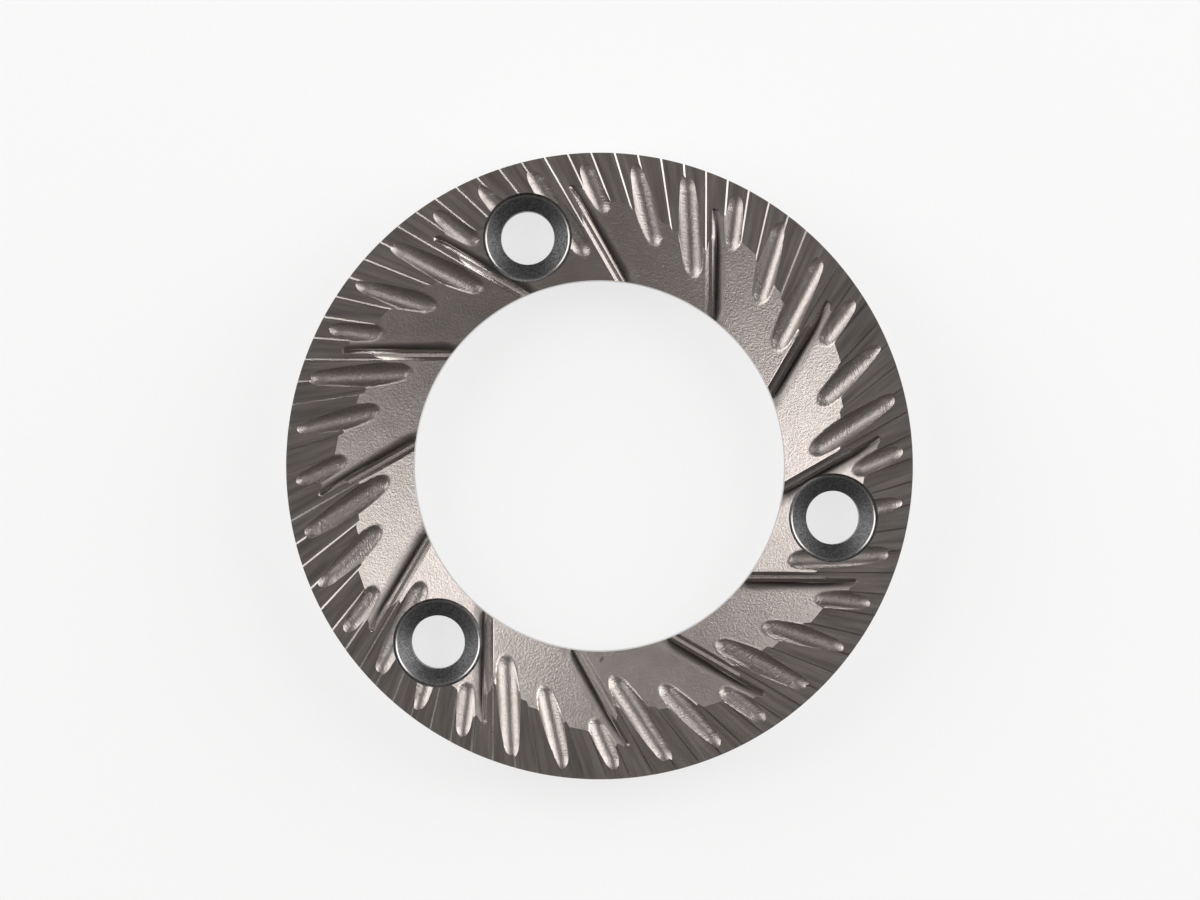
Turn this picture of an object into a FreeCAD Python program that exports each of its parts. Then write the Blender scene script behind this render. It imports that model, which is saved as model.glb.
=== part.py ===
import FreeCAD, Part
import math
import os

os.makedirs("parts", exist_ok=True)

# Ring, lying on its back face, axis on Z
outer_diameter = 64.0
bore_diameter = 38.0
thickness = 9.0
outer_back_chamfer = 0.4

# Ground grinding teeth, all round the face
sector_count = 12
teeth_per_sector = 7
crest_tangent_radius = 10.8
tooth_depth = 0.15
tooth_face_angle = 40.0
first_crest_angle = -17.5

# Cast breaker floor of one sector, a dished cone set off the ring axis
floor_slope = 0.33
floor_edge_radius = 38.2
floor_centre_distance = 14.75
floor_centre_angle = 184.7

# Breaker ridge between two sectors
ridge_width = 0.7
ridge_wall_draft = 8.0
ridge_lip_size = 0.32
ridge_lip_setback = 0.04
ridge_shoulder_size = 0.32
ridge_shoulder_depth = 0.1
ridge_outer_radius = 28.8

# Valley at the foot of the ridge
valley_width = 0.95
valley_side_angle = 39.0
valley_end_depth = 0.42
valley_bore_depth = 2.85

# Feed pockets, a short, a medium and a long one in each sector
pockets_per_sector = 3
pocket_radius = 1.45
pocket_end_radius = 31.15
pocket_end_depth = 0.265
pocket_fall = 0.074
pocket_tangent_radius = 10.3
first_pocket_angle = 7.4

# Countersunk screw holes
hole_count = 3
hole_circle_diameter = 49.0
hole_diameter = 5.5
head_diameter = 9.1
head_depth = 2.2
seat_diameter = 8.4
seat_angle = 90.0

# Derived sizes
outer_radius = outer_diameter / 2
bore_radius = bore_diameter / 2
tooth_count = sector_count * teeth_per_sector
tooth_pitch = 360.0 / tooth_count
sector_pitch = 360.0 / sector_count
pocket_pitch = sector_pitch / pockets_per_sector
shoulder_across = crest_tangent_radius + ridge_width
wall_across = shoulder_across + ridge_shoulder_size
valley_middle_across = wall_across + valley_width / 2
spare = 1.0


def flat_point(angle, across, along):
    """Plan position seen from a crest line at this angle: across it and along it from its tangent point."""
    turn = math.radians(angle)
    return (
        across * math.cos(turn) - along * math.sin(turn),
        across * math.sin(turn) + along * math.cos(turn),
    )


def along_at(radius, across=crest_tangent_radius):
    """Distance along a line, which passes the axis at 'across', to a given radius."""
    return math.sqrt(radius ** 2 - across ** 2)


def turned(shape, angle):
    """Copy of a shape turned about the ring axis."""
    copy = shape.copy()
    copy.rotate(FreeCAD.Vector(0, 0, 0), FreeCAD.Vector(0, 0, 1), angle)
    return copy


def polygon_face(points):
    """Plane face through the given points."""
    return Part.Face(Part.makePolygon(points + [points[0]]))


def groove_line(radius):
    """Bottom of the groove next to the crest line at angle zero: a point at about this radius."""
    half_pitch = math.radians(tooth_pitch / 2)
    apex_along = -crest_tangent_radius * math.tan(half_pitch)
    rim_along = along_at(outer_radius)
    face_width = tooth_depth / math.tan(math.radians(tooth_face_angle))
    share = (along_at(radius) - apex_along) / (rim_along - apex_along)
    return FreeCAD.Vector(
        crest_tangent_radius + share * face_width,
        apex_along + share * (rim_along - apex_along),
        thickness - share * tooth_depth,
    )


def toothed_block():
    """Block whose top is the full round of ground teeth, wider than the ring all round."""
    inner_radius = bore_radius - spare
    rim_radius = outer_radius + spare
    rings = []
    for radius in (inner_radius, rim_radius):
        along = along_at(radius)
        ring = []
        for tooth in range(tooth_count):
            angle = first_crest_angle - tooth * tooth_pitch
            x, y = flat_point(angle, crest_tangent_radius, along)
            ring.append(FreeCAD.Vector(x, y, thickness))
            low = groove_line(radius)
            x, y = flat_point(angle, low.x, low.y)
            ring.append(FreeCAD.Vector(x, y, low.z))
        rings.append(ring)
    inner, rim = rings
    faces = []
    feet = []
    for ring in rings:
        feet.append([FreeCAD.Vector(point.x, point.y, -spare) for point in ring])
    for place in range(len(rim)):
        after = (place + 1) % len(rim)
        faces.append(polygon_face([inner[place], inner[after], rim[after], rim[place]]))
        for ring, foot in zip(rings, feet):
            faces.append(polygon_face([ring[place], ring[after], foot[after], foot[place]]))
    outlines = [Part.makePolygon(foot + [foot[0]]) for foot in feet]
    faces.append(Part.makeFace(outlines, "Part::FaceMakerBullseye"))
    return Part.Solid(Part.Shell(faces))


def turned_ring():
    """Plain ring with its back chamfer, a little higher than the crests."""
    top = thickness + spare
    profile = [
        FreeCAD.Vector(bore_radius, 0, 0),
        FreeCAD.Vector(outer_radius - outer_back_chamfer, 0, 0),
        FreeCAD.Vector(outer_radius, 0, outer_back_chamfer),
        FreeCAD.Vector(outer_radius, 0, top),
        FreeCAD.Vector(bore_radius, 0, top),
    ]
    return polygon_face(profile).revolve(FreeCAD.Vector(0, 0, 0), FreeCAD.Vector(0, 0, 1), 360)


def floor_centre(angle):
    """Plan position of the floor cone of the sector whose ridge has this angle."""
    turn = math.radians(floor_centre_angle + angle)
    return floor_centre_distance * math.cos(turn), floor_centre_distance * math.sin(turn)


def floor_height(x, y, angle):
    """Height of the cast floor at a plan position."""
    centre_x, centre_y = floor_centre(angle)
    return thickness - floor_slope * (floor_edge_radius - math.hypot(x - centre_x, y - centre_y))


def ridge_line():
    """Foot line of the lip: its place across, its bore end and the fall of the floor along it."""
    across = crest_tangent_radius + ridge_lip_setback
    near = along_at(bore_radius - spare, across)
    far = along_at((bore_radius + ridge_outer_radius) / 2, across)
    near_height = floor_height(across, near, sector_pitch)
    far_height = floor_height(across, far, sector_pitch)
    return across, near, near_height, (far_height - near_height) / (far - near)


def floor_tool():
    """What the casting leaves open over one sector, between its ridge wall and the next one."""
    across, near, lip_height, rise = ridge_line()
    drop = valley_bore_depth + spare
    far = along_at(outer_radius, wall_across)
    draft = math.tan(math.radians(ridge_wall_draft))
    shoulder = lip_height - ridge_lip_size - ridge_shoulder_size - rise * near
    low = thickness - drop - rise * far
    high = thickness + spare
    side = [
        FreeCAD.Vector(wall_across + draft * (shoulder - low), 0, low),
        FreeCAD.Vector(wall_across + draft * (shoulder - high), 0, high),
        FreeCAD.Vector(outer_radius, 0, high),
        FreeCAD.Vector(outer_radius, 0, low),
    ]
    beside_ridge = polygon_face(side).extrude(FreeCAD.Vector(0, far, rise * far))
    outline = [
        FreeCAD.Vector(across, near, thickness - drop),
        FreeCAD.Vector(across, far, thickness - drop),
    ]
    for along in (far, near):
        x, y = flat_point(-sector_pitch, valley_middle_across, along)
        outline.append(FreeCAD.Vector(x, y, thickness - drop))
    sector_room = polygon_face(outline).extrude(FreeCAD.Vector(0, 0, drop + spare))
    centre_x, centre_y = floor_centre(0)
    cone = Part.makeCone(
        floor_edge_radius - drop / floor_slope,
        floor_edge_radius + spare / floor_slope,
        drop + spare,
        FreeCAD.Vector(centre_x, centre_y, thickness - drop),
    )
    return cone.common(sector_room).common(beside_ridge)


def lip_tool():
    """Step down from the floor to the narrow ledge along the top of the ridge."""
    across, near, height, rise = ridge_line()
    outline = [
        FreeCAD.Vector(across - spare, near, height + spare),
        FreeCAD.Vector(across + ridge_lip_size, near, height - ridge_lip_size),
        FreeCAD.Vector(wall_across, near, height - ridge_lip_size),
        FreeCAD.Vector(wall_across, near, height + spare),
    ]
    length = along_at(ridge_outer_radius, across) - near
    return polygon_face(outline).extrude(FreeCAD.Vector(0, length, rise * length))


def shoulder_tool():
    """Slanted shoulder along the ridge: falling over the floor, level under the teeth."""
    across, near, lip_height, rise = ridge_line()
    height = lip_height - ridge_lip_size
    level = thickness - ridge_shoulder_depth
    knee = near + (level - height) / rise
    tip = along_at(ridge_outer_radius, wall_across)
    pieces = []
    for start, end, fall in ((near, knee, rise), (knee, tip, 0.0)):
        top = height if start == near else level
        outline = [
            FreeCAD.Vector(shoulder_across - spare, start, top + spare),
            FreeCAD.Vector(wall_across, start, top - ridge_shoulder_size),
            FreeCAD.Vector(valley_middle_across, start, top - ridge_shoulder_size),
            FreeCAD.Vector(valley_middle_across, start, top + spare),
        ]
        length = end - start
        pieces.append(polygon_face(outline).extrude(FreeCAD.Vector(0, length, fall * length)))
    return pieces


def round_ended_bar(radius, start, end):
    """Bar with a ball end at 'start', running on to 'end'."""
    run = end.sub(start)
    bar = Part.makeCylinder(radius, run.Length, start, run)
    return bar.fuse(Part.makeSphere(radius, start, run))


def valley_tool():
    """Groove between the ridge wall and a slanted side up to the floor, deeper towards the bore."""
    far_across = wall_across + valley_width
    side_rise = valley_width * math.tan(math.radians(valley_side_angle))
    tip = along_at(ridge_outer_radius, wall_across)
    near = along_at(bore_radius, valley_middle_across)
    start = near - spare
    fall = (valley_bore_depth - valley_end_depth) / (tip - near)
    low = thickness - valley_bore_depth - fall * spare
    high = thickness + spare
    section = [
        FreeCAD.Vector(wall_across, start, high),
        FreeCAD.Vector(wall_across, start, low),
        FreeCAD.Vector(far_across, start, low + side_rise),
        FreeCAD.Vector(far_across, start, high),
    ]
    length = tip - start
    return polygon_face(section).extrude(FreeCAD.Vector(0, length, fall * length))


def pocket_tool(number):
    """Round-bottomed pocket with a ball end near the rim, running out over the falling floor."""
    angle = -(first_pocket_angle + number * pocket_pitch)
    half_width = math.sqrt(pocket_radius ** 2 - (pocket_radius - pocket_end_depth) ** 2)
    tip = along_at(pocket_end_radius, pocket_tangent_radius) - half_width
    near = along_at(bore_radius, pocket_tangent_radius)
    axis_height = thickness - pocket_end_depth + pocket_radius
    start_x, start_y = flat_point(angle, pocket_tangent_radius, tip)
    end_x, end_y = flat_point(angle, pocket_tangent_radius, near)
    return round_ended_bar(
        pocket_radius,
        FreeCAD.Vector(start_x, start_y, axis_height),
        FreeCAD.Vector(end_x, end_y, axis_height - pocket_fall * (tip - near)),
    )


def hole_tool():
    """Screw hole with its head recess and conical seat."""
    seat_height = thickness - head_depth
    seat_depth = (seat_diameter - hole_diameter) / 2 / math.tan(math.radians(seat_angle / 2))
    hole_radius = hole_diameter / 2
    profile = [
        FreeCAD.Vector(0, 0, -spare),
        FreeCAD.Vector(hole_radius, 0, -spare),
        FreeCAD.Vector(hole_radius, 0, seat_height - seat_depth),
        FreeCAD.Vector(seat_diameter / 2, 0, seat_height),
        FreeCAD.Vector(head_diameter / 2, 0, seat_height),
        FreeCAD.Vector(head_diameter / 2, 0, thickness + spare),
        FreeCAD.Vector(0, 0, thickness + spare),
    ]
    hole = polygon_face(profile).revolve(FreeCAD.Vector(0, 0, 0), FreeCAD.Vector(0, 0, 1), 360)
    hole.translate(FreeCAD.Vector(0, hole_circle_diameter / 2, 0))
    return hole


burr = turned_ring().common(toothed_block())

floors = floor_tool().fuse([valley_tool()] + shoulder_tool())
ridge_edges = [floors, lip_tool()]
pockets = [pocket_tool(number) for number in range(pockets_per_sector)]
for sector in range(sector_count):
    angle = first_crest_angle - sector * sector_pitch
    burr = burr.cut([turned(tool, angle) for tool in ridge_edges])
for sector in range(sector_count):
    angle = first_crest_angle - sector * sector_pitch
    burr = burr.cut([turned(tool, angle) for tool in pockets])
hole = hole_tool()
burr = burr.cut([turned(hole, place * 360.0 / hole_count) for place in range(hole_count)])
if burr.ShapeType == "Compound" and len(burr.Solids) == 1:
    burr = burr.Solids[0]

burr.exportStep("parts/burr.step")
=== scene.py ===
import math
import bpy
import bmesh
import numpy as np
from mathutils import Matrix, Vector


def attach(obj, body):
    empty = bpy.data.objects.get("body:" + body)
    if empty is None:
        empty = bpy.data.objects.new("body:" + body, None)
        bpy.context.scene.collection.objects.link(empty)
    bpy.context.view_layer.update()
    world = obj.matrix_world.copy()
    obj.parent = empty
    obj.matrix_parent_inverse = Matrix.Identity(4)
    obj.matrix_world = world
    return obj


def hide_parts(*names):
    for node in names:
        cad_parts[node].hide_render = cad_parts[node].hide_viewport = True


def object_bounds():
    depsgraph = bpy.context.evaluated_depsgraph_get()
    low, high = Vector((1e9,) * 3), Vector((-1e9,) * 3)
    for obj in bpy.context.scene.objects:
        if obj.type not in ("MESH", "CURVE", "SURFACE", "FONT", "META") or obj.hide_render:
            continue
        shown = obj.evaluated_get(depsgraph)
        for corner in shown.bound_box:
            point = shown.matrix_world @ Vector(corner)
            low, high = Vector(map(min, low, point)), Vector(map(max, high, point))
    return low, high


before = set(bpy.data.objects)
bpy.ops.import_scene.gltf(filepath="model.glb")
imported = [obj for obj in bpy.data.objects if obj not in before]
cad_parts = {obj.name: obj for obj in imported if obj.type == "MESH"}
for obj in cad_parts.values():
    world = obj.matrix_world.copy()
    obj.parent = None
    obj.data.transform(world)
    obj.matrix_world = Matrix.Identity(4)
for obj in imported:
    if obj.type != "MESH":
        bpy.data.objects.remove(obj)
cad_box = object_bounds()

MM = 0.001

# The photograph's frame, in its 1200 by 900 pixels
PICTURE_WIDTH = 1200
PICTURE_MIDDLE = (600.0, 450.0)
BURR_MIDDLE = (599.5, 466.0)
BURR_RADIUS_PIXELS = 313.4
PHOTO_TURN = 17.5

# Camera and lights, in metres
CAMERA_DISTANCE = 1.0
SENSOR_WIDTH = 36.0
LIGHT_DISTANCE = 0.4
FLOOR_SIZE = 4.0
FLOOR_GAP = 0.00005

# Ring in millimetres, its outside and height from the frame
OUTER_RADIUS = round(cad_box[1][0] / MM, 3)
THICKNESS = round(cad_box[1][2] / MM, 3)
BORE_RADIUS = 19.0
BACK_CHAMFER = 0.4

# Ground teeth, in millimetres and degrees
SECTORS = 12
TEETH = 7 * SECTORS
SECTOR_PITCH = 360 / SECTORS
CREST_TANGENT_RADIUS = 10.8
TOOTH_DEPTH = 0.15
TOOTH_FACE_ANGLE = 40.0
FIRST_CREST_ANGLE = -17.5

# Dished floor of a sector, a shallow cone about a centre of its own
FLOOR_SLOPE = 0.33
FLOOR_EDGE_RADIUS = 38.2
FLOOR_CENTRE_DISTANCE = 14.75
FLOOR_CENTRE_ANGLE = 184.7

# Ridge between two sectors: lip, shoulder and wall
LIP_SETBACK = 0.04
LIP_SIZE = 0.32
LIP_ACROSS = CREST_TANGENT_RADIUS + LIP_SETBACK
RIDGE_WIDTH = 0.7
RIDGE_OUTER_RADIUS = 28.8
STRIP_SLOPE = 0.9
SHOULDER_SIZE = 0.32
SHOULDER_DEPTH = 0.1
SHOULDER_ACROSS = CREST_TANGENT_RADIUS + RIDGE_WIDTH
WALL_ACROSS = SHOULDER_ACROSS + SHOULDER_SIZE
WALL_DRAFT = 8.0

# Valley at the foot of the ridge
VALLEY_END_DEPTH = 0.26
VALLEY_BORE_DEPTH = 0.42
VALLEY_SLOPE = 0.8
VALLEY_REACH = 0.95
VALLEY_ROUNDING = 0.12
VALLEY_END_LENGTH = 0.12
VALLEY_BORE_LENGTH = 1.2
VALLEY_BORE_SHARE = 0.6

# Feed pockets, a short, a medium and a long one in each sector
POCKET_INNER_RADII = (25.6, 23.0, 21.4)
POCKET_PITCH = SECTOR_PITCH / len(POCKET_INNER_RADII)
FIRST_POCKET_ANGLE = 7.4
POCKET_TANGENT_RADIUS = 10.3
POCKET_END_RADIUS = 31.15
POCKET_END_DEPTH = 0.32
POCKET_FALL = 0.1
POCKET_RADIUS = 1.35
POCKET_INNER_SHARE = 0.8
POCKET_END_STRETCH = 1.9
POCKET_RIM_SLOPE = 6.0
POCKET_RIM_ROUNDING = 0.11
CRISP_ROUNDING = 0.01

# Screw holes with their head recess, conical seat and the narrow rim round the seat
HOLE_COUNT = 3
FIRST_HOLE_ANGLE = 90
HOLE_CIRCLE_RADIUS = 24.5
HOLE_RADIUS = 2.75
HEAD_RADIUS = 4.55
HEAD_DEPTH = 2.2
SEAT_RADIUS = 4.16
RIM_WIDTH = 0.15
RIM_RISE = 0.085
HOLE_STEPS = 72

# Dark mark on the floor, placed in the photograph's directions
NICK_PLACE = (0.22, -19.8)
NICK_SIZE = (0.2, 0.42)
NICK_LEAN = -30.0
NICK_CORE = 0.4

# Grid of the casting: its rows, the columns of a sector, the columns that the ridge's lines take and
# those of its ledge and wall, and how far its fine columns reach past the wall and before a lip
ROWS = 76
COLUMNS = 126
LINE_COLUMNS = (0, 2, 4, 7, 9, 20)
# Ledge and wall columns, which take a dark finish as painted shade
SHADED_RIDGE_COLUMNS = (2, 3, 7, 8)
WALL_FOOT = 0.14
LIP_APPROACH = 0.12

# Top of the casting before it is ground, and how far a cutting body reaches past the ring
RAW_TOP = 9.6
CUT_MARGIN = 1.0

# Angles in degrees beyond which an edge is crisp: between cut faces, within the casting, at a pocket's rim
CUT_LIMIT = 30
CAST_LIMIT = 38
RIM_LIMIT = 22

TEETH_SLOT, SAND_SLOT, SHADED_RIDGE_SLOT, POCKET_SLOT, TURNED_SLOT, SEAT_SLOT = range(6)

# Levels between which a noise has nearly all its values
NOISE_LOW = 0.3
NOISE_HIGH = 0.7

# Grain of the cast skin
GRAIN = {"scale": 4.2, "detail": 3.0, "roughness": 0.7}

# Plain surroundings that the camera sees, and the floor's finish
PALE_WORLD = (0.92, 0.92, 0.92, 1)
FLOOR_COLOUR = (0.9, 0.9, 0.9, 1)
FLOOR_GLOW = (1, 1, 1, 1)
FLOOR_GLOW_SHARE = 0.75


# Camera and light

def azimuth(photo_angle):
    """Direction in the plane of the burr of an angle that is seen in the photograph from its right."""
    turn = math.radians(photo_angle - PHOTO_TURN)
    return Vector((math.cos(turn), math.sin(turn), 0))


def make_camera():
    """Camera straight above the burr, framed as the photograph."""
    metres_per_pixel = OUTER_RADIUS * MM / BURR_RADIUS_PIXELS
    across = (PICTURE_MIDDLE[0] - BURR_MIDDLE[0]) * metres_per_pixel
    rise = (BURR_MIDDLE[1] - PICTURE_MIDDLE[1]) * metres_per_pixel
    data = bpy.data.cameras.new("camera")
    data.sensor_width = SENSOR_WIDTH
    data.lens = SENSOR_WIDTH * CAMERA_DISTANCE / (PICTURE_WIDTH * metres_per_pixel)
    data.clip_end = 10 * CAMERA_DISTANCE
    camera = bpy.data.objects.new("camera", data)
    height = Vector((0, 0, THICKNESS * MM + CAMERA_DISTANCE))
    camera.location = azimuth(0) * across + azimuth(90) * rise + height
    camera.rotation_euler = (0, 0, math.radians(-PHOTO_TURN))
    bpy.context.scene.collection.objects.link(camera)
    bpy.context.scene.camera = camera


def softbox(name, photo_angle, half_width, low, high, radiance):
    """Upright soft light facing the burr, with its half width and its lower and upper edge in degrees."""
    foot = LIGHT_DISTANCE * math.tan(math.radians(low))
    top = LIGHT_DISTANCE * math.tan(math.radians(high))
    width = 2 * LIGHT_DISTANCE * math.tan(math.radians(half_width))
    data = bpy.data.lights.new(name, "AREA")
    data.shape = "RECTANGLE"
    data.size = width
    data.size_y = top - foot
    data.energy = radiance * math.pi * width * (top - foot)
    box = bpy.data.objects.new(name, data)
    outwards = azimuth(photo_angle)
    box.location = outwards * LIGHT_DISTANCE + Vector((0, 0, (foot + top) / 2))
    box.rotation_euler = (-outwards).to_track_quat("-Z", "Y").to_euler()
    box.visible_camera = False
    bpy.context.scene.collection.objects.link(box)


def make_lights():
    """Large soft boxes on the right and the left, and low strips on the far side and at the near left."""
    softbox("right_box", photo_angle=19, half_width=23, low=14, high=66, radiance=3.15)
    softbox("right_strip", photo_angle=10, half_width=26, low=6, high=14, radiance=3.0)
    softbox("left_box", photo_angle=163, half_width=27, low=18, high=66, radiance=2.9)
    softbox("left_strip", photo_angle=139, half_width=12, low=6, high=14, radiance=2.5)
    softbox("far_strip", photo_angle=70, half_width=32, low=0.3, high=7.5, radiance=7.5)
    softbox("near_strip", photo_angle=190, half_width=30, low=0.3, high=3.5, radiance=2.0)


def make_world():
    """Dim warm surroundings, with a pale band at the horizon; the camera sees them as plain pale."""
    height_levels = ((0.045, 0.7), (0.065, 0.1), (0.5, 0.12), (0.85, 0.21))
    warm_tint = Vector((1, 0.94, 0.91))
    world = bpy.data.worlds.new("world")
    world.use_nodes = True
    nodes = world.node_tree.nodes
    link = world.node_tree.links.new
    split = nodes.new("ShaderNodeSeparateXYZ")
    link(nodes.new("ShaderNodeTexCoord").outputs["Generated"], split.inputs[0])
    ramp = nodes.new("ShaderNodeValToRGB")
    link(split.outputs["Z"], ramp.inputs["Fac"])
    stops = ramp.color_ramp.elements
    while len(stops) < len(height_levels):
        stops.new(0.5)
    for stop, (height, level) in zip(stops, height_levels):
        stop.position = height
        stop.color = (*(warm_tint * level), 1)
    dim = nodes["Background"]
    link(ramp.outputs["Color"], dim.inputs["Color"])
    plain = nodes.new("ShaderNodeBackground")
    plain.inputs["Color"].default_value = PALE_WORLD
    mix = nodes.new("ShaderNodeMixShader")
    link(nodes.new("ShaderNodeLightPath").outputs["Is Camera Ray"], mix.inputs[0])
    link(dim.outputs[0], mix.inputs[1])
    link(plain.outputs[0], mix.inputs[2])
    link(mix.outputs[0], nodes["World Output"].inputs["Surface"])
    bpy.context.scene.world = world


# Form of the burr

def along_at(radius, across):
    """Distance along a line, which passes the axis at 'across', to a given radius."""
    return np.sqrt(radius ** 2 - across ** 2)


def turned(x, y, angle):
    """Plan position turned about the ring axis."""
    turn = math.radians(angle)
    return x * math.cos(turn) - y * math.sin(turn), x * math.sin(turn) + y * math.cos(turn)


def soft_low(one, two, width):
    """Lower of two heights, rounded where they cross."""
    return np.minimum(one, two) - np.maximum(width - np.abs(one - two), 0) ** 2 / (4 * width)


def floor_height(x, y, angle=0.0):
    """Height of the dished floor of the sector whose ridge has this angle."""
    centre_x, centre_y = turned(FLOOR_CENTRE_DISTANCE, 0, FLOOR_CENTRE_ANGLE + angle)
    return THICKNESS - FLOOR_SLOPE * (FLOOR_EDGE_RADIUS - np.hypot(x - centre_x, y - centre_y))


def lip_line():
    """Line of the lip, where the next floor runs in: its height beside the axis, and its rise outwards."""
    near = along_at(BORE_RADIUS - CUT_MARGIN, LIP_ACROSS)
    far = along_at((BORE_RADIUS + RIDGE_OUTER_RADIUS) / 2, LIP_ACROSS)
    near_height = floor_height(LIP_ACROSS, near, SECTOR_PITCH)
    far_height = floor_height(LIP_ACROSS, far, SECTOR_PITCH)
    rise = (far_height - near_height) / (far - near)
    return near_height - rise * near, rise


def ridge_height(across, along):
    """Lip, ledge, shoulder and wall of the breaker ridge."""
    start, rise = lip_line()
    lip = start + rise * along
    ledge = lip - LIP_SIZE
    top = np.maximum(lip - STRIP_SLOPE * (across - LIP_ACROSS), ledge)
    shoulder_top = np.minimum(ledge, THICKNESS - SHOULDER_DEPTH)
    shoulder = shoulder_top - STRIP_SLOPE * (across - SHOULDER_ACROSS)
    wall = ledge - SHOULDER_SIZE - (across - WALL_ACROSS) / math.tan(math.radians(WALL_DRAFT))
    return np.minimum(np.minimum(top, shoulder), wall)


def valley_height(across, along):
    """Groove at the foot of the ridge wall, sunk below the floor or the teeth, with a slanted far side."""
    tip = along_at(RIDGE_OUTER_RADIUS, WALL_ACROSS)
    near = along_at(BORE_RADIUS, WALL_ACROSS)
    inwards = np.clip((tip - along) / (tip - near), 0, 1)
    depth = VALLEY_END_DEPTH + (VALLEY_BORE_DEPTH - VALLEY_END_DEPTH) * inwards
    outer_gap = 1 - np.clip((tip - along) / VALLEY_END_LENGTH, 0, 1)
    inner_gap = 1 - np.clip((along - near) / VALLEY_BORE_LENGTH, 0, 1)
    depth *= (1 - outer_gap ** 2) * (1 - (1 - VALLEY_BORE_SHARE) * inner_gap ** 2)
    bottom = np.minimum(floor_height(WALL_ACROSS, along), THICKNESS) - depth
    return bottom + VALLEY_SLOPE * np.maximum(across - WALL_ACROSS, 0)


def pocket_height(x, y, number):
    """Round-bottomed feed pocket with drawn-out ends, and the rounding of its rim, none on one side."""
    across, along = turned(x, y, FIRST_POCKET_ANGLE + number * POCKET_PITCH)
    beside = across - POCKET_TANGENT_RADIUS
    half_width = math.sqrt(POCKET_RADIUS ** 2 - (POCKET_RADIUS - POCKET_END_DEPTH) ** 2)
    outer = along_at(POCKET_END_RADIUS, POCKET_TANGENT_RADIUS) - half_width * POCKET_END_STRETCH
    end = along_at(POCKET_INNER_RADII[number], POCKET_TANGENT_RADIUS)
    inner = end + POCKET_RADIUS * POCKET_INNER_SHARE
    held = np.clip(along, inner, outer)
    gap = np.hypot(beside, (along - held) / POCKET_END_STRETCH)
    axis = THICKNESS - POCKET_END_DEPTH + POCKET_RADIUS - POCKET_FALL * (outer - held)
    deep = axis - np.sqrt(np.maximum(POCKET_RADIUS ** 2 - gap ** 2, 0))
    height = deep + POCKET_RIM_SLOPE * np.maximum(gap - POCKET_RADIUS, 0)
    side = np.clip(-beside / POCKET_RADIUS * 2, 0, 1)
    before_end = np.clip((along - inner) / POCKET_RADIUS + 1, 0, 1)
    rounding = CRISP_ROUNDING + (POCKET_RIM_ROUNDING - CRISP_ROUNDING) * side * before_end
    return height, rounding


def cast_heights(x, y):
    """Height of the casting over one sector, where its pockets are, and what is beyond the ridge's tip."""
    tip = along_at(RIDGE_OUTER_RADIUS, LIP_ACROSS)
    floor = soft_low(floor_height(x, y), valley_height(x, y), VALLEY_ROUNDING)
    in_ridge = (y < tip) & (x < WALL_ACROSS + VALLEY_REACH / 2)
    ridge = np.where(in_ridge, ridge_height(x, y), -CUT_MARGIN)
    height = np.where(y < tip, np.maximum(floor, ridge), RAW_TOP)
    pockets = np.zeros(x.shape, bool)
    for number in range(len(POCKET_INNER_RADII)):
        pocket, rounding = pocket_height(x, y, number)
        pockets |= pocket < height
        height = soft_low(height, pocket, rounding)
    return np.minimum(height, RAW_TOP), pockets, y >= tip


def line_angle(radius, across):
    """Polar angle, from the across axis, of a line that passes the ring axis at this distance."""
    return np.degrees(np.arccos(across / radius))


def column_angles(radius):
    """Polar angles of the grid's columns over one sector, laid along its ridge and valley."""
    lines = (
        LIP_ACROSS,
        LIP_ACROSS + LIP_SIZE,
        SHOULDER_ACROSS,
        WALL_ACROSS,
        WALL_ACROSS + WALL_FOOT,
        WALL_ACROSS + VALLEY_REACH,
    )
    angles = [line_angle(radius, across) for across in lines]
    next_lip = angles[0] - SECTOR_PITCH
    places = [*LINE_COLUMNS, COLUMNS - 2, COLUMNS]
    angles += [next_lip + math.degrees(LIP_APPROACH / radius), next_lip]
    return np.interp(np.arange(COLUMNS), places, angles)


def cast_grid():
    """Points of the top of the casting, sector by sector, its pockets and what is beyond each ridge."""
    radii = np.linspace(BORE_RADIUS, OUTER_RADIUS, ROWS)
    angles = np.radians(np.array([column_angles(radius) for radius in radii]))
    x = radii[:, None] * np.cos(angles)
    y = radii[:, None] * np.sin(angles)
    heights, pockets, beyond = cast_heights(x, y)
    blocks = []
    for sector in range(SECTORS):
        block_x, block_y = turned(x, y, FIRST_CREST_ANGLE - sector * SECTOR_PITCH)
        blocks.append(np.stack([block_x, block_y, heights], axis=-1))
    return np.concatenate(blocks, axis=1), np.tile(pockets, (1, SECTORS)), np.tile(beyond, (1, SECTORS))


def new_object(name, points, faces, slots, finishes):
    """Mesh object in metres from points in millimetres."""
    mesh = bpy.data.meshes.new(name)
    mesh.from_pydata([tuple(point) for point in np.asarray(points) * MM], [], faces)
    for finish in finishes:
        mesh.materials.append(finish)
    mesh.polygons.foreach_set("material_index", slots)
    made = bpy.data.objects.new(name, mesh)
    bpy.context.scene.collection.objects.link(made)
    return made


def cell(row, column, rows, columns):
    """Corners of a cell of a grid that closes on itself both ways, one row of points after another."""
    after = (row + 1) % rows
    beside = (column + 1) % columns
    return (
        row * columns + column,
        row * columns + beside,
        after * columns + beside,
        after * columns + column,
    )


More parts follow.
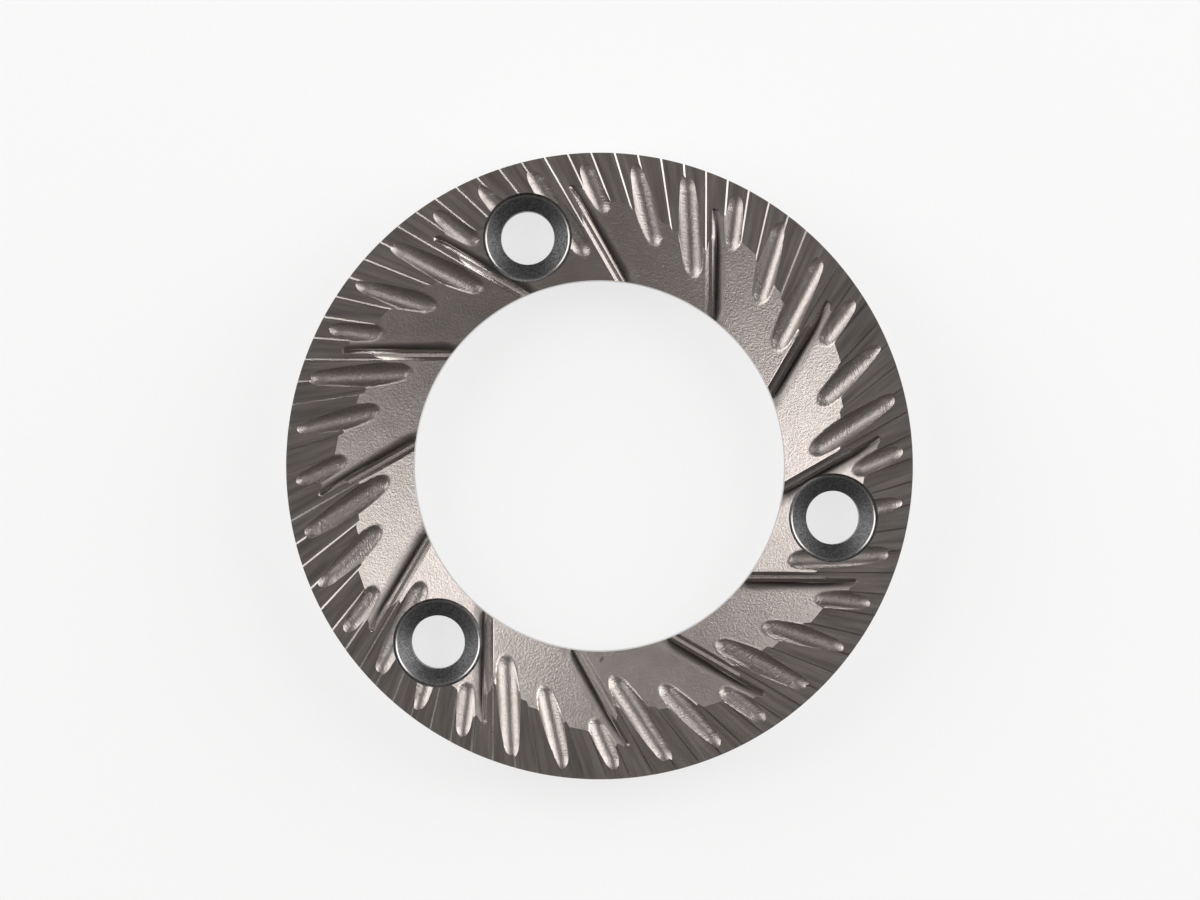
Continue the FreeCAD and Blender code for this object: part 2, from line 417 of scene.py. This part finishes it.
def cast_ring(finishes):
    """The whole casting: its top, the turned rim and bore, the back and its chamfer."""
    top, pockets, beyond = cast_grid()
    top_rows, columns = pockets.shape
    outer_turn = np.arctan2(top[-1, :, 1], top[-1, :, 0])
    inner_turn = np.arctan2(top[0, :, 1], top[0, :, 0])
    rings = [top]
    for radius, height, turn in (
        (OUTER_RADIUS, BACK_CHAMFER, outer_turn),
        (OUTER_RADIUS - BACK_CHAMFER, 0.0, outer_turn),
        (BORE_RADIUS, 0.0, inner_turn),
    ):
        ring = (radius * np.cos(turn), radius * np.sin(turn), np.full(columns, height))
        rings.append(np.stack(ring, axis=-1)[None])
    points = np.concatenate(rings, axis=0)
    rows = len(points)
    faces = []
    slots = []
    for row in range(rows):
        for column in range(columns):
            faces.append(cell(row, column, rows, columns))
            if row >= top_rows - 1:
                slots.append(TURNED_SLOT)
            elif pockets[row, column] and pockets[row + 1, (column + 1) % columns]:
                slots.append(POCKET_SLOT)
            elif beyond[row, column] != beyond[row + 1, column]:
                slots.append(SEAT_SLOT)
            # Ledge and wall of each ridge take the dark finish that paints their shade
            elif column % COLUMNS in SHADED_RIDGE_COLUMNS:
                slots.append(SHADED_RIDGE_SLOT)
            else:
                slots.append(SAND_SLOT)
    return new_object("casting", points.reshape(-1, 3), faces, slots, finishes)


def groove_point(radius):
    """Bottom of the groove beside the crest line at angle zero, at about this radius."""
    apex = -CREST_TANGENT_RADIUS * math.tan(math.pi / TEETH)
    rim = along_at(OUTER_RADIUS, CREST_TANGENT_RADIUS)
    share = (along_at(radius, CREST_TANGENT_RADIUS) - apex) / (rim - apex)
    face_width = TOOTH_DEPTH / math.tan(math.radians(TOOTH_FACE_ANGLE))
    across = CREST_TANGENT_RADIUS + share * face_width
    return across, apex + share * (rim - apex), THICKNESS - share * TOOTH_DEPTH


def toothed_block(finishes):
    """Block under the ground teeth, wider than the ring all round."""
    rings = []
    for radius in (BORE_RADIUS - CUT_MARGIN, OUTER_RADIUS + CUT_MARGIN):
        low_across, low_along, low_height = groove_point(radius)
        top = []
        for tooth in range(TEETH):
            angle = FIRST_CREST_ANGLE - tooth * 360 / TEETH
            crest = turned(CREST_TANGENT_RADIUS, along_at(radius, CREST_TANGENT_RADIUS), angle)
            top.append((*crest, THICKNESS))
            top.append((*turned(low_across, low_along, angle), low_height))
        foot = [(x, y, -CUT_MARGIN) for x, y, _ in top]
        rings.append((top, foot))
    (inner, inner_foot), (outer, outer_foot) = rings
    columns = len(inner)
    loop = (inner, outer, outer_foot, inner_foot)
    points = [point for ring in loop for point in ring]
    faces = []
    # Corners in the other order than in the casting; the solver takes a cutting body either way
    for column in range(columns):
        for row in range(len(loop)):
            one, two, three, four = cell(row, column, len(loop), columns)
            faces.append((one, four, three, two))
    return new_object("teeth", points, faces, [TEETH_SLOT] * len(faces), finishes)


def screw_hole(number, finishes):
    """Screw hole with its head recess and conical seat."""
    seat = THICKNESS - HEAD_DEPTH
    profile = (
        (HOLE_RADIUS, -CUT_MARGIN),
        (HOLE_RADIUS, seat - (SEAT_RADIUS - HOLE_RADIUS)),
        (SEAT_RADIUS, seat),
        (SEAT_RADIUS + RIM_WIDTH, seat + RIM_RISE),
        (HEAD_RADIUS, seat + RIM_RISE),
        (HEAD_RADIUS, THICKNESS + CUT_MARGIN),
    )
    angle = math.radians(FIRST_HOLE_ANGLE + number * 360 / HOLE_COUNT)
    middle_x = HOLE_CIRCLE_RADIUS * math.cos(angle)
    middle_y = HOLE_CIRCLE_RADIUS * math.sin(angle)
    points = []
    for radius, height in profile:
        for step in range(HOLE_STEPS):
            turn = 2 * math.pi * step / HOLE_STEPS
            points.append((middle_x + radius * math.cos(turn), middle_y + radius * math.sin(turn), height))
    foot = range(HOLE_STEPS)
    head = range(len(points) - HOLE_STEPS, len(points))
    faces = [tuple(reversed(foot)), tuple(head)]
    slots = [SEAT_SLOT] * 2
    for row, (radius, _) in enumerate(profile[:-1]):
        slots += [TURNED_SLOT if radius == SEAT_RADIUS else SEAT_SLOT] * HOLE_STEPS
        faces += [cell(row, step, len(profile), HOLE_STEPS) for step in range(HOLE_STEPS)]
    return new_object("hole", points, faces, slots, finishes)


def finished_burr(finishes):
    """The casting with its ground teeth and screw holes, one closed mesh."""
    casting = cast_ring(finishes)
    cutters = [("INTERSECT", toothed_block(finishes))]
    cutters += [("DIFFERENCE", screw_hole(number, finishes)) for number in range(HOLE_COUNT)]
    for operation, cutter in cutters:
        step = casting.modifiers.new(cutter.name, "BOOLEAN")
        step.operation = operation
        step.solver = "MANIFOLD"
        step.object = cutter
    depsgraph = bpy.context.evaluated_depsgraph_get()
    mesh = bpy.data.meshes.new_from_object(casting.evaluated_get(depsgraph))
    for made in [casting] + [cutter for _, cutter in cutters]:
        bpy.data.objects.remove(made)
    burr = bpy.data.objects.new("toothed_burr", mesh)
    bpy.context.scene.collection.objects.link(burr)
    return burr


def is_crisp(edge):
    """Whether an edge stays sharp: a cut surface ends there, or the form turns far enough."""
    one, two = [face.material_index for face in edge.link_faces]
    cast = (SAND_SLOT, POCKET_SLOT)
    if one in cast and two in cast:
        return edge.calc_face_angle(0) > math.radians(CAST_LIMIT if one == two else RIM_LIMIT)
    return one != two or edge.calc_face_angle(0) > math.radians(CUT_LIMIT)


def shade(mesh):
    """Smooth surfaces with crisp edges."""
    work = bmesh.new()
    work.from_mesh(mesh)
    for face in work.faces:
        face.smooth = True
    for edge in work.edges:
        if len(edge.link_faces) == 2:
            edge.smooth = not is_crisp(edge)
    work.to_mesh(mesh)
    work.free()


# Finishes

class Nodes:
    """Short ways to build one material."""

    # Places of the colour sockets of a mix node, and of its colour output
    MIX_FACTOR, MIX_LOW, MIX_HIGH = 0, 6, 7
    MIX_COLOUR = 2

    def __init__(self, name):
        self.material = bpy.data.materials.new(name)
        self.material.use_nodes = True
        self.tree = self.material.node_tree
        self.tree.nodes.clear()
        self.output = self.add("ShaderNodeOutputMaterial")

    def add(self, kind, **settings):
        """New node with these settings."""
        node = self.tree.nodes.new(kind)
        for key, value in settings.items():
            setattr(node, key, value)
        return node

    def link(self, source, target):
        """Link one socket to another."""
        self.tree.links.new(source, target)

    def put(self, node, socket, value):
        """Set a socket to a number, or link it to another socket."""
        if isinstance(value, bpy.types.NodeSocket):
            self.link(value, node.inputs[socket])
        else:
            node.inputs[socket].default_value = value

    def maths(self, operation, *values):
        """One sum, of numbers or sockets."""
        node = self.add("ShaderNodeMath", operation=operation)
        for place, value in enumerate(values):
            self.put(node, place, value)
        return node.outputs[0]

    def spread(self, value, low, high, to_low, to_high):
        """Value carried from one range to another, held at the ends."""
        node = self.add("ShaderNodeMapRange")
        settings = {"Value": value, "From Min": low, "From Max": high, "To Min": to_low, "To Max": to_high}
        for socket, number in settings.items():
            self.put(node, socket, number)
        return node.outputs["Result"]

    def by_noise(self, noise, to_low, to_high):
        """Value that a noise carries from one level to another."""
        return self.spread(noise, NOISE_LOW, NOISE_HIGH, to_low, to_high)

    def place(self):
        """Position on the part in millimetres, and its x, y and z."""
        scaled = self.add("ShaderNodeVectorMath", operation="SCALE")
        self.link(self.add("ShaderNodeTexCoord").outputs["Object"], scaled.inputs[0])
        self.put(scaled, "Scale", 1 / MM)
        split = self.add("ShaderNodeSeparateXYZ")
        self.link(scaled.outputs["Vector"], split.inputs[0])
        return scaled.outputs["Vector"], split.outputs["X"], split.outputs["Y"], split.outputs["Z"]

    def join(self, x, y, z=0.0):
        """Vector of three numbers or sockets."""
        node = self.add("ShaderNodeCombineXYZ")
        for socket, value in zip("XYZ", (x, y, z)):
            self.put(node, socket, value)
        return node.outputs[0]

    def noise(self, vector, scale, detail=2.0, roughness=0.5):
        """Noise with this many spots to a millimetre."""
        node = self.add("ShaderNodeTexNoise")
        settings = {"Vector": vector, "Scale": scale, "Detail": detail, "Roughness": roughness}
        for socket, value in settings.items():
            self.put(node, socket, value)
        return node.outputs["Fac"]

    def streaks(self, one, two, one_scale, two_scale, detail=3.0, roughness=0.6):
        """Noise over two measures of the part, drawn out along the one with the smaller scale."""
        vector = self.join(self.maths("MULTIPLY", one, one_scale), self.maths("MULTIPLY", two, two_scale))
        return self.noise(vector, 1.0, detail, roughness)

    def squared_radius(self, x, y):
        """Squared distance from the axis of the ring."""
        return self.maths("ADD", self.maths("MULTIPLY", x, x), self.maths("MULTIPLY", y, y))

    def crest_place(self, x, y):
        """Radius, and the place across the crest lines in millimetres at the middle of the ring."""
        radius = self.maths("SQRT", self.squared_radius(x, y))
        lean = self.maths("ARCCOSINE", self.maths("DIVIDE", CREST_TANGENT_RADIUS, radius))
        turn = self.maths("SUBTRACT", self.maths("ARCTAN2", y, x), lean)
        return radius, self.maths("MULTIPLY", turn, (OUTER_RADIUS + BORE_RADIUS) / 2)

    def from_wall(self, x, y):
        """Distance in millimetres from the nearest ridge wall, on the side where its valley is."""
        squares = self.squared_radius(x, y)
        lean = self.maths("ARCCOSINE", self.maths("DIVIDE", WALL_ACROSS, self.maths("SQRT", squares)))
        turn = self.maths("SUBTRACT", math.radians(FIRST_CREST_ANGLE), self.maths("ARCTAN2", y, x))
        gap = self.maths("FLOORED_MODULO", self.maths("ADD", turn, lean), math.radians(SECTOR_PITCH))
        along = self.maths("SQRT", self.maths("SUBTRACT", squares, WALL_ACROSS ** 2))
        return self.maths("MULTIPLY", gap, along)

    def nick(self, x, y):
        """One in the core of the dark mark, and nothing outside it."""
        centre = azimuth(0) * NICK_PLACE[0] + azimuth(90) * NICK_PLACE[1]
        squares = []
        for axis, reach in zip((azimuth(NICK_LEAN), azimuth(90 + NICK_LEAN)), NICK_SIZE):
            way = self.maths("ADD", self.maths("MULTIPLY", x, axis.x), self.maths("MULTIPLY", y, axis.y))
            step = self.maths("DIVIDE", self.maths("SUBTRACT", way, axis.dot(centre)), reach)
            squares.append(self.maths("MULTIPLY", step, step))
        return self.spread(self.maths("SQRT", self.maths("ADD", *squares)), NICK_CORE, 1, 1, 0)

    def bump(self, height, strength, distance, normal=None):
        """Bumped normal, with its relief in millimetres."""
        node = self.add("ShaderNodeBump")
        self.put(node, "Height", height)
        self.put(node, "Strength", strength)
        self.put(node, "Distance", distance * MM)
        if normal is not None:
            self.link(normal, node.inputs["Normal"])
        return node.outputs["Normal"]

    def blend(self, factor, low, high, blend_type="MIX"):
        """Blend of two colours, each a colour or a socket."""
        node = self.add("ShaderNodeMix", data_type="RGBA", blend_type=blend_type)
        self.put(node, self.MIX_FACTOR, factor)
        self.put(node, self.MIX_LOW, low)
        self.put(node, self.MIX_HIGH, high)
        return node.outputs[self.MIX_COLOUR]

    def occlusion_shaded(self, colour, reach, darkest, shut=0.35, clear=0.95):
        """Colour darkened by ambient occlusion in corners and grooves: painted shade."""
        open_share = self.add("ShaderNodeAmbientOcclusion", samples=8)
        self.put(open_share, "Distance", reach * MM)
        share = self.spread(open_share.outputs["AO"], shut, clear, darkest, 1)
        return self.blend(1.0, colour, self.join(share, share, share), "MULTIPLY")

    def metal(self, colour, roughness, normal):
        """Finished material of steel with these inputs."""
        shader = self.add("ShaderNodeBsdfPrincipled")
        self.put(shader, "Metallic", 1.0)
        self.put(shader, "Base Color", colour)
        self.put(shader, "Roughness", roughness)
        self.put(shader, "Normal", normal)
        self.link(shader.outputs[0], self.output.inputs["Surface"])
        return self.material


def ground_teeth():
    """Teeth ground along their crests: dark steel with fine straight streaks."""
    n = Nodes("ground_teeth")
    _, x, y, _ = n.place()
    radius, across = n.crest_place(x, y)
    fine = n.streaks(across, radius, one_scale=7.0, two_scale=0.25)
    broad = n.streaks(across, radius, one_scale=1.7, two_scale=0.12, detail=2.0, roughness=0.5)
    colour = n.blend(n.by_noise(broad, 0, 1), low=(0.31, 0.285, 0.27, 1), high=(0.54, 0.496, 0.47, 1))
    roughness = n.by_noise(fine, to_low=0.18, to_high=0.26)
    return n.metal(colour, roughness, n.bump(fine, strength=0.2, distance=0.008))


def cast_sand():
    """Sandy casting skin of the floors and ridges, with a band of painted shade at the foot of the ridges,
    painted shade in corners and a dark nick.
    """
    band_inner, band_outer, band_share = 0.45, 1.3, 0.5
    nick_share = 0.6
    band_dulling, flat_dulling = 0.6, 0.1
    steep, level = 0.8, 0.92
    steep_relief, level_relief = 0.3, 0.85
    # Near-black colour for the painted shade beside the ridge walls and for the real nick
    shade_and_nick_colour = (0.05, 0.047, 0.045, 1)
    n = Nodes("cast_sand")
    place, x, y, _ = n.place()
    grain = n.noise(place, **GRAIN)
    blotch = n.by_noise(n.noise(place, scale=0.5), 0, 1)
    clean = n.blend(blotch, low=(0.45, 0.405, 0.38, 1), high=(0.50, 0.455, 0.43, 1))
    # Band of painted shade on the floor beside each ridge wall, where the wall shades the floor
    band = n.spread(n.from_wall(x, y), band_inner, band_outer, band_share, 0)
    # Painted shade band, or the real nick where that is darker
    dark = n.maths("MAXIMUM", band, n.maths("MULTIPLY", n.nick(x, y), nick_share))
    shaded_and_nicked = n.blend(dark, clean, shade_and_nick_colour)
    upright = n.add("ShaderNodeSeparateXYZ")
    n.link(n.add("ShaderNodeNewGeometry").outputs["Normal"], upright.inputs[0])
    flat = n.spread(upright.outputs["Z"], steep, level, 0, 1)
    skin = n.by_noise(grain, to_low=0.18, to_high=0.28)
    skin = n.maths("ADD", skin, n.maths("MULTIPLY", flat, flat_dulling))
    roughness = n.maths("ADD", skin, n.maths("MULTIPLY", band, band_dulling))
    relief = n.spread(flat, 0, 1, steep_relief, level_relief)
    normal = n.bump(grain, strength=relief, distance=0.055)
    # Ambient occlusion paints more shade into corners and grooves
    return n.metal(n.occlusion_shaded(shaded_and_nicked, reach=1.4, darkest=0.45, shut=0.45, clear=0.9), roughness, normal)


def cast_shaded_ridge():
    """Ledge and wall of each ridge, coloured dark as painted shade."""
    n = Nodes("cast_shaded_ridge")
    place, _, _, _ = n.place()
    grain = n.noise(place, **GRAIN)
    colour = n.blend(n.by_noise(grain, 0, 1), low=(0.19, 0.172, 0.163, 1), high=(0.3, 0.272, 0.258, 1))
    return n.metal(colour, roughness=0.45, normal=n.bump(grain, strength=0.7, distance=0.05))


def cast_pocket():
    """Pocket walls: cast skin with faint cross ripples, and painted shade where the pocket closes in."""
    n = Nodes("cast_pocket")
    place, x, y, _ = n.place()
    radius, across = n.crest_place(x, y)
    ripple = n.streaks(across, radius, one_scale=0.9, two_scale=6.5, detail=1.0, roughness=0.4)
    grain = n.noise(place, **GRAIN)
    colour = n.blend(n.by_noise(grain, 0, 1), low=(0.36, 0.325, 0.305, 1), high=(0.48, 0.435, 0.41, 1))
    roughness = n.by_noise(grain, to_low=0.28, to_high=0.38)
    rippled = n.bump(ripple, strength=0.5, distance=0.05)
    normal = n.bump(grain, strength=0.7, distance=0.05, normal=rippled)
    # Ambient occlusion paints shade into the pocket towards its rims
    return n.metal(n.occlusion_shaded(colour, reach=1.5, darkest=0.2), roughness, normal)


def turned_steel():
    """Bore, outside and back, turned with fine lines round the axis."""
    n = Nodes("turned_steel")
    place, x, y, z = n.place()
    radius = n.maths("SQRT", n.squared_radius(x, y))
    lines = n.streaks(radius, z, one_scale=12.0, two_scale=12.0)
    blotch = n.noise(place, scale=0.25)
    colour = n.blend(blotch, low=(0.38, 0.365, 0.355, 1), high=(0.48, 0.465, 0.455, 1))
    roughness = n.by_noise(lines, to_low=0.24, to_high=0.36)
    return n.metal(colour, roughness, n.bump(lines, strength=0.25, distance=0.012))


def screw_seat():
    """Head recess and seat of a screw hole and the step at a ridge's tip, dark and finely specked, with
    painted shade where the recess closes in.
    """
    speck_low, speck_high = 0.35, 0.65
    lines_per_mm = 10.0
    n = Nodes("screw_seat")
    place, _, _, z = n.place()
    upwards = n.join(0.0, 0.0, n.maths("MULTIPLY", z, lines_per_mm))
    lines = n.noise(upwards, scale=1.0, detail=3.0, roughness=0.6)
    specks = n.noise(place, scale=5.0, detail=2.0, roughness=0.8)
    share = n.spread(specks, speck_low, speck_high, 0, 1)
    colour = n.blend(share, low=(0.13, 0.131, 0.133, 1), high=(0.36, 0.363, 0.37, 1))
    lined = n.bump(lines, strength=0.3, distance=0.02)
    normal = n.bump(specks, strength=0.6, distance=0.06, normal=lined)
    # Ambient occlusion paints shade into the recess and round the seat
    occlusion_shaded = n.occlusion_shaded(colour, reach=1.2, darkest=0.12, shut=0.4, clear=0.72)
    return n.metal(occlusion_shaded, roughness=0.5, normal=normal)


def pale_floor():
    """Plain pale finish that shows white to the camera and in steel, and keeps a shadow."""
    n = Nodes("floor")
    lit = n.add("ShaderNodeBsdfDiffuse")
    n.put(lit, "Color", FLOOR_COLOUR)
    glow = n.add("ShaderNodeEmission")
    n.put(glow, "Color", FLOOR_GLOW)
    path = n.add("ShaderNodeLightPath")
    seen = n.maths("MAXIMUM", path.outputs["Is Camera Ray"], path.outputs["Is Glossy Ray"])
    seen = n.maths("MAXIMUM", seen, path.outputs["Is Transmission Ray"])
    mix = n.add("ShaderNodeMixShader")
    n.put(mix, 0, n.maths("MULTIPLY", seen, FLOOR_GLOW_SHARE))
    n.link(lit.outputs[0], mix.inputs[1])
    n.link(glow.outputs[0], mix.inputs[2])
    n.link(mix.outputs[0], n.output.inputs["Surface"])
    return n.material


# The scene

def make_burr():
    """Shown burr with a finish for each kind of surface, in the order of the slots."""
    finishes = [ground_teeth(), cast_sand(), cast_shaded_ridge(), cast_pocket(), turned_steel(), screw_seat()]
    burr = finished_burr(finishes)
    shade(burr.data)
    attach(burr, "root")
    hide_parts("burr")


def make_floor():
    """Large plain floor just under the burr."""
    corners = [(-1, -1, 0), (1, -1, 0), (1, 1, 0), (-1, 1, 0)]
    mesh = bpy.data.meshes.new("floor")
    mesh.from_pydata([Vector(corner) * FLOOR_SIZE for corner in corners], [], [(0, 1, 2, 3)])
    mesh.materials.append(pale_floor())
    floor = bpy.data.objects.new("floor", mesh)
    floor.location.z = -FLOOR_GAP
    bpy.context.scene.collection.objects.link(floor)


make_camera()
make_lights()
make_world()
make_floor()
make_burr()
bpy.context.scene.view_settings.view_transform = "Standard"
